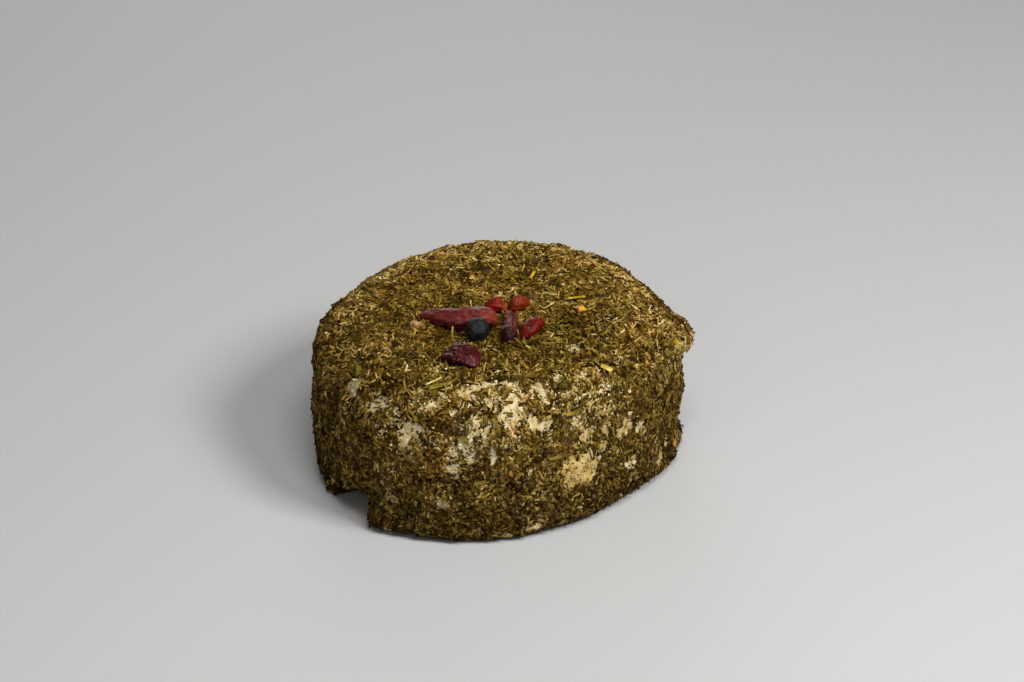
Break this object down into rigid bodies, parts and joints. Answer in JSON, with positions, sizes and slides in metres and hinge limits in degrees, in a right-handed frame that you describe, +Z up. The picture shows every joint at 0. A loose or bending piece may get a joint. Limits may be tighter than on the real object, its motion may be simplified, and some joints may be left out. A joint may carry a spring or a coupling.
{
  "type": "herb-crusted sheep cheese",
  "caption": "Small whole round sheep's-milk cheese with rounded shoulders and a sunken top, in a crust of dried herbs, topped with dried chillies and a juniper berry.",
  "frame": {"origin": "middle of the flat base, on the surface that the cheese rests on", "axes": "+Z up through the thickness of the cheese, -Y towards the shown front, +X to the right of it"},
  "size_m": [0.1148, 0.1167, 0.0521],
  "materials": {
    "cheese": "dry crust of chopped olive-brown herbs over cream cheese paste, matt",
    "chilli_long": "wrinkled dark crimson skin, satin",
    "chilli_red_end": "bright red skin, satin",
    "chilli_orange_end": "orange-red skin, satin",
    "chilli_middle": "brownish red skin, satin",
    "chilli_right": "bright red skin, glossy",
    "chilli_front": "wrinkled dark crimson skin, satin",
    "juniper_berry": "blue-black skin with a waxy bloom, matt"
  },
  "bodies": {
    "root": {"cheese": "cheese", "chilli_long": "chilli_long", "chilli_red_end": "chilli_red_end", "chilli_orange_end": "chilli_orange_end", "chilli_middle": "chilli_middle", "chilli_right": "chilli_right", "chilli_front": "chilli_front", "juniper_berry": "juniper_berry"}
  },
  "joints": []
}
